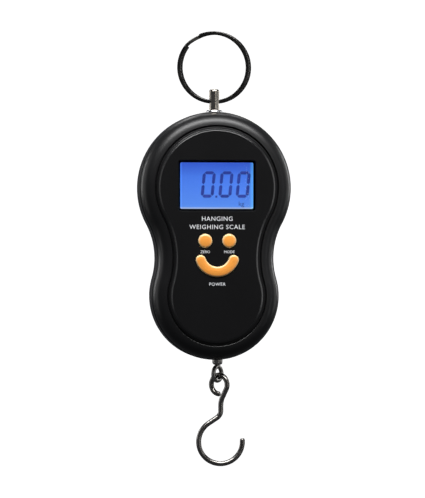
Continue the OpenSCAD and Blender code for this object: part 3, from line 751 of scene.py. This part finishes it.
def key(name, line, reach, body, nodes_):
    """A pillow-topped key; reach is how far in its crown goes."""
    k = Build()
    k.ring(line, [(-0.6, -7.9), (-0.6, -8.8), (0, -8.8), (0, PROUD + 1.05)])
    rows_ = round_rows(0, PROUD + 1.05, reach * 0.62, PROUD + 0.12, 8)[1:]
    rows_ = [(0, PROUD + 1.05)] + rows_ + [(reach * 0.8, PROUD + 0.03), (reach, PROUD)]
    k.ring(line, rows_)
    k.plate(PROUD, line(reach))
    k.plate(-7.9, line(-0.6))
    return k.done(name, body, key_mat, nodes_, "key_orange", sharp=60)


key("tare_key_cap", circle_line(-KEYS_X, KEYS_Z, KEY_R, 64), 2.6, "tare_key", ["tare_button"])
key("unit_key_cap", circle_line(KEYS_X, KEYS_Z, KEY_R, 64), 2.6, "unit_key", ["unit_button"])
key("power_key_cap", smile_line, 1.9, "power_key", ["power_button"])

# ---------------------------------------------------------------- rear cover
DOOR_X, DOOR_TOP, DOOR_LOW, BARREL_X, BARREL_Y, BARREL_Z = 12.9, -97.8, -142.6, 7.0, 12.7, -144.2


def door_line(d, drop=0.0):
    """The battery door's outline, d mm inside it; drop lowers its tongue."""
    r = 4
    x, top, low = DOOR_X - d, DOOR_TOP - d, DOOR_LOW + d
    bx, foot = BARREL_X - d, BARREL_Z - drop + d
    pts = []
    for sx, a in ((1, 0), (-1, 90)):
        pts += [on_circle(sx * (x - r), top - r, r, math.radians(a + 90 * i / 10)) for i in range(11)]
    return pts + [(-x, low), (-bx, low), (-bx, foot), (bx, foot), (bx, low), (x, low)]


def opening(d):
    """The hole for the door and its barrel."""
    return door_line(d - 0.25, 0.8)


b = Build()
rows = [(WALL_IN, 0), (0.35, 0), (0.05, 0.32), (0.0, 0.6)] + round_rows(0, BACK_Y - 5, 5, BACK_Y, 14)
b.ring(case_line, rows)
b.plate(BACK_Y, case_line(5))
b.plate(11.5, case_line(5.85))
b.ring(case_line, [(5.85, 11.5), (4.2, 10.9), (2.9, 9.6), (WALL_IN, 7.6), (WALL_IN, 0)])
tools = seam_ways() + [prism(opening, 10.5, BACK_Y + 1)]
sink_rows = [
    (0, 10.5), (1.3, 10.5), (1.3, 11.0), (2.5, 11.0), (2.5, BACK_Y - 0.2),
    (2.7, BACK_Y), (2.7, BACK_Y + 1), (0, BACK_Y + 1),
]
for x, z in CASE_HOLES:
    k = Build()
    k.lathe((x, 0, z), (0, 1, 0), sink_rows, 40)
    tools.append(k)
b = carve(b, *tools)
screw_post = [(1.3, 11.2), (1.3, 0.15), (1.45, 0), (2.6, 0), (2.8, 0.2), (2.8, 11.5)]
for x, z in CASE_HOLES:
    b.lathe((x, 0, z), (0, 1, 0), screw_post, 32)
for side in (-1, 1):
    boss(b, side * 11, -53, 2.3, 1.02, 11.5, 3.5)
b.done("rear_cover_shell", "case", case_mat, ["rear_cover"], "case_black", sharp=28)

# battery door with its barrel and thumb grip
b = Build()
b.ring(door_line, [(0, 11.9), (0, 13.25), (0.06, 13.42), (0.2, 13.5)])
grip = rect_line(0, -106.5, 15, 8.4, 2)
b.plate(13.5, door_line(0.2), [grip(0)])
b.ring(grip, [(0, 13.5), (0.25, 13.32), (0.5, 13.0)])
b.plate(13.0, grip(0.5))
b.plate(11.9, door_line(0))
barrel_rows = [
    (0, -BARREL_X), (0.7, -BARREL_X), (0.8, 0.1 - BARREL_X),
    (0.8, BARREL_X - 0.1), (0.7, BARREL_X), (0, BARREL_X),
]
b.lathe((0, BARREL_Y, BARREL_Z), (1, 0, 0), barrel_rows, 32)
for i in range(5):
    ridge = rect_line(0, -103.6 - 1.45 * i, 11.5, 0.7, 0.34)
    b.ring(ridge, [(0, 13.0), (0.05, 13.3), (0.2, 13.45)])
    b.plate(13.45, ridge(0.2))
pin_rows = [(0.5, -0.3), (0.5, 0.9), (0.4, 1.0), (0, 1.0)]
for side in (-1, 1):
    b.lathe((side * BARREL_X, BARREL_Y, BARREL_Z), (side, 0, 0), pin_rows, 24)
b.done("battery_door_plate", "door", case_mat, ["battery_door"], "case_black", sharp=28)

# ---------------------------------------------------------------- hanging gear
post_lo, post_hi = size_of("hanger_post")
b = Build()
POST_R = 2.4
b.lathe(
    (0, 0, 0), (0, 0, 1),
    [(0, post_lo.z), (1.75, post_lo.z), (2.0, post_lo.z + 0.3), (2.0, CELL_TOP), (POST_R - 0.1, CELL_TOP)]
    + [(POST_R, -48.9), (POST_R, -36)]
    + [(POST_R, -36 + 0.6 * i) for i in range(1, 16)]
    + [(POST_R, -26.3), (2.3, -25.95), (2.05, -25.6), (1.6, -25.36), (1.0, -25.3), (0, -25.3)],
    96,
)
post = b.done("hanger_post_turned", "case", steel_post, ["hanger_post"], "post_steel", sharp=40)
c = Build()
c.lathe((0, 0, POST_HOLE_Z), (1, 0, 0), [(0, -4), (1.9, -4), (1.6, -2.2), (1.6, 2.2), (1.9, 4), (0, 4)], 64)
cutter = bpy.data.meshes.new("cut")
bmesh.ops.recalc_face_normals(c.bm, faces=c.bm.faces)
c.bm.to_mesh(cutter)
c.bm.free()


def cut(obj, mesh):
    tool = bpy.data.objects.new("cut", mesh)
    scene.collection.objects.link(tool)
    mod = obj.modifiers.new("cut", "BOOLEAN")
    mod.object = tool
    mod.solver = "EXACT"
    bpy.context.view_layer.update()
    fresh = bpy.data.meshes.new_from_object(obj.evaluated_get(bpy.context.evaluated_depsgraph_get()))
    obj.modifiers.clear()
    obj.data = fresh
    bpy.data.objects.remove(tool)
    obj.data.shade_smooth()
    obj.data.set_sharp_from_angle(angle=math.radians(40))


cut(post, cutter)

# collar, a bright dome round the post
b = Build()
top = UPPER_Z + UPPER_R
bend = [math.radians(a) for a in range(10, 91, 10)]
b.lathe(
    (0, 0, 0), (0, 0, 1),
    [(2.42, top - 0.75), (3.8, top - 0.75), (3.8, top + 0.05)]
    + [(2.75 + 1.05 * math.cos(a), top + 0.05 + 0.85 * math.sin(a)) for a in bend]
    + [(2.5, top + 0.88), (2.42, top + 0.8), (2.42, top - 0.75)],
)
b.done("post_collar_dome", "case", chrome_mat, ["post_collar"], "collar_chrome", sharp=40)

# split ring: one wire wound twice, crossing over at the upper left
RING_R, RADIAL, COIL = 15.2 + 0.85, 1.7, 1.05
CROSS = math.radians(128)
STEP = math.radians(26)
TURN = 2 * math.pi


def smooth(x):
    x = min(1, max(0, x))
    return x * x * (3 - 2 * x)


def ring_path():
    start, end = CROSS - STEP * 0.55, CROSS - STEP * 0.55 - 2 * TURN + STEP + math.radians(3)
    n = 300
    out = []
    for i in range(n + 1):
        a = start + (end - start) * i / n
        gone = start - a
        w = smooth((gone - (TURN - STEP)) / STEP)
        side = -1 + 2 * w
        y = side * (COIL / 2 + 0.012)
        x0 = side * 0.5
        out.append((x0 + RING_R * math.cos(a), y, RING_Z + RING_R * math.sin(a)))
    return out


def coil_section(i):
    k = min(1, 0.45 + 0.55 * smooth(min(i, 300 - i) / 6))
    hr, hc, rr = RADIAL / 2, COIL / 2 * k, 0.3 * k
    pts = []
    for sx, sy, a in ((1, 1, 0), (-1, 1, 90), (-1, -1, 180), (1, -1, 270)):
        pts += [on_circle(sx * (hr - rr), sy * (hc - rr), rr, math.radians(a + 22.5 * j)) for j in range(5)]
    return pts


b = Build()
b.tube(ring_path(), coil_section, frames=lambda i, p, t: Vector((p.x, 0, p.z - RING_Z)))
b.done("split_ring_wire", "ring", steel_dark, ["split_ring"], "ring_steel", sharp=50, weld=0.001)

# ---------------------------------------------------------------- eye and hook
EYE_Z, EYE_R, EYE_WIRE = -157.8, 3.3, 2.1
HOOK_WIRE, LOOP_R, BOWL_R, LOOP_END = 2.4, 4.4, 10.25, math.radians(274)
EYE_TURN, HOOK_TURN = math.radians(50), math.radians(-40)
loop_in = LOOP_R - (HOOK_WIRE + EYE_WIRE) / 2 - 0.08
loop_off = loop_in * 0.5
LX = STUD_X + loop_off * math.cos(HOOK_TURN)
LY = loop_off * math.sin(HOOK_TURN)
LZ = EYE_Z - EYE_R - loop_in * math.cos(math.radians(30))
SX = LX + 0.85 * math.cos(HOOK_TURN)
SY = LY + 0.85 * math.sin(HOOK_TURN)
BX, BZ = SX - 0.1, -189.5

b = Build()
b.lathe(
    (STUD_X, 0, 0), (0, 0, 1),
    [(0, -153.75), (1.5, -153.7), (2.1, -153.35), (2.3, -153.0), (2.375, -152.6)]
    + [(2.375, -147.8), (2.2, -147.6), (1.9, -147.6), (1.9, -89.3), (2.0, -89.3)]
    + [(2.0, -76.95), (1.8, -76.75), (0, -76.75)],
    64,
)
eye_path = []
for i in range(97):
    a = math.radians(90 + 360 * i / 96)
    across = EYE_R * math.cos(a)
    eye_path.append(
        (STUD_X + across * math.cos(EYE_TURN), across * math.sin(EYE_TURN), EYE_Z + EYE_R * math.sin(a))
    )
normal = (math.sin(EYE_TURN), -math.cos(EYE_TURN), 0)
b.tube(eye_path, disc(EYE_WIRE / 2), frames=lambda i, p, t: normal)
b.done("eye_stud_wire", "swivel", eye_mat, ["eye_stud"], "eye_steel", sharp=50)


def hook_path():
    """Centre line from the eye's end, round the loop, down the shank and round the bowl."""
    flat = []
    foot = math.hypot(0.85, 7.66)
    tie = math.atan2(-7.66, 0.85) + math.acos(LOOP_R / foot)
    n = 90
    for i in range(n + 1):
        a = LOOP_END + (tie - LOOP_END) * i / n
        flat.append((LOOP_R * math.cos(a), LOOP_R * math.sin(a)))
    loop = [(LX + u * math.cos(HOOK_TURN), LY + u * math.sin(HOOK_TURN), LZ + z) for u, z in flat]
    end = Vector(loop[-1])
    knee = Vector((SX, SY, LZ - 7.66))
    low = Vector((SX, SY, LZ - 10.2))
    pts = [Vector(p) for p in loop]
    for i in range(1, 7):
        pts.append(end.lerp(knee, 0.72 * i / 6))
    p0, p1, p2 = pts[-1].copy(), knee, low
    for i in range(1, 15):
        s = i / 14
        pts.append(p0 * (1 - s) ** 2 + p1 * 2 * s * (1 - s) + p2 * s * s)
    al = math.radians(123.4)
    tx, tz = BOWL_R * math.cos(al), BOWL_R * math.sin(al)
    meet = tz - (SX - BX - tx) * math.cos(al) / math.sin(al)
    lead = 4 * math.tan((math.pi - al) / 2)
    bz = BZ + meet + lead
    for i in range(1, 7):
        pts.append(low.lerp(Vector((SX, SY, bz)), i / 6))
    for i in range(1, 19):
        a = (al - math.pi) * i / 18
        pts.append(Vector((SX - 4 + 4 * math.cos(a), SY, bz + 4 * math.sin(a))))
    a_end = pts[-1].copy()
    for i in range(1, 5):
        pts.append(a_end.lerp(Vector((BX + tx, SY, BZ + tz)), i / 4))
    for i in range(1, 111):
        a = al + (math.radians(368) - al) * i / 110
        pts.append(Vector((BX + BOWL_R * math.cos(a), SY, BZ + BOWL_R * math.sin(a))))
    return pts


path = hook_path()
last = len(path) - 1


def hook_section(i):
    k = 1.0
    if i < 3:
        k = (0.72, 0.93, 1.0)[i]
    if i > last - 3:
        k = (0.72, 0.93, 1.0)[last - i]
    return disc(HOOK_WIRE / 2 * k, 28)


b = Build()
b.tube(path, hook_section)
b.done("hook_wire", "hook", hook_mat, ["hook"], "hook_steel", sharp=60)

# ---------------------------------------------------------------- stage, light, camera
def backdrop():
    """Pale floor sweeping up into a wall, well away from the object."""
    m, t, p = new_material("backdrop_paper")
    v = spot(t, 0.001)
    stops = [(0.3, (0.93, 0.93, 0.93)), (0.7, (0.97, 0.97, 0.97))]
    t.links.new(ramp(t, noise(t, v, 3.0), stops), p.inputs["Base Color"])
    p.inputs["Roughness"].default_value = 0.9
    p.inputs["Specular IOR Level"].default_value = 0.1
    p.inputs["Emission Color"].default_value = (1, 1, 1, 1)
    p.inputs["Emission Strength"].default_value = 0.9
    bm = bmesh.new()
    cove = [(1.7 + 0.4 * math.sin(a), 0.06 - 0.4 * math.cos(a)) for a in map(math.radians, range(10, 91, 10))]
    rows_ = [(-1.8, -0.34), (1.7, -0.34)] + cove + [(2.1, 2.0)]
    grid = [[bm.verts.new((x, y, z)) for x in (-3, 3)] for y, z in rows_]
    for lo, hi in zip(grid, grid[1:]):
        bm.faces.new((lo[0], lo[1], hi[1], hi[0]))
    mesh = bpy.data.meshes.new("backdrop")
    bm.to_mesh(mesh)
    bm.free()
    mesh.shade_smooth()
    o = bpy.data.objects.new("backdrop", mesh)
    scene.collection.objects.link(o)
    mesh.materials.append(m)
    o.visible_glossy = False
    o.visible_diffuse = False


backdrop()


def area(name, at, aim, w, h, power, colour=(1, 1, 1)):
    l = bpy.data.lights.new(name, "AREA")
    l.shape = "RECTANGLE"
    l.size, l.size_y = w, h
    l.energy = power
    l.color = colour
    o = bpy.data.objects.new(name, l)
    scene.collection.objects.link(o)
    o.location = at
    o.rotation_euler = (Vector(aim) - Vector(at)).to_track_quat("-Z", "Y").to_euler()


MID = (0, 0, -0.1)
area("key_top", (0, -0.42, 0.55), (0, 0, -0.06), 0.95, 0.26, 13.0)
area("strip_near", (0.44, -0.9, -0.1), MID, 0.05, 0.8, 0.45, (1.0, 0.97, 0.92))
area("strip_right", (0.8, -0.5, -0.1), MID, 0.09, 0.8, 0.5, (0.96, 0.98, 1.0))
area("edge_left", (-0.9, 0.1, 0.0), MID, 0.2, 0.8, 0.8)
area("edge_right", (0.9, 0.1, 0.0), MID, 0.2, 0.8, 0.8)
area("back_top", (0.0, 0.5, 0.5), MID, 0.5, 0.3, 1.5)
area("back_left", (-0.8, 0.65, 0.1), MID, 0.2, 0.5, 1.5)
area("back_right", (0.8, 0.65, 0.1), MID, 0.2, 0.5, 1.5)

world = bpy.data.worlds.new("studio")
scene.world = world
world.use_nodes = True
world.node_tree.nodes["Background"].inputs["Color"].default_value = (0.9, 0.93, 1.0, 1)
light_path = world.node_tree.nodes.new("ShaderNodeLightPath")
sky = world.node_tree.nodes.new("ShaderNodeMapRange")
sky.inputs["To Min"].default_value = 0.08
sky.inputs["To Max"].default_value = 1.05
world.node_tree.links.new(light_path.outputs["Is Camera Ray"], sky.inputs["Value"])
world.node_tree.links.new(sky.outputs["Result"], world.node_tree.nodes["Background"].inputs["Strength"])
scene.view_settings.view_transform = "Standard"

cam = bpy.data.cameras.new("camera")
cam_obj = bpy.data.objects.new("camera", cam)
scene.collection.objects.link(cam_obj)
scene.camera = cam_obj
AZ, EL, DIST = math.radians(-6.0), math.radians(0.0), 1.4
target = Vector((-0.0008, 0, -0.09977))
away = Vector((math.sin(AZ) * math.cos(EL), -math.cos(AZ) * math.cos(EL), math.sin(EL)))
cam_obj.location = target + away * DIST
cam_obj.rotation_euler = (target - cam_obj.location).to_track_quat("-Z", "Y").to_euler()
cam.sensor_fit = "VERTICAL"
cam.sensor_height = 24.0
cam.lens = 24.0 * DIST / (498 * 0.466 * MM)
cam.clip_start = 0.05
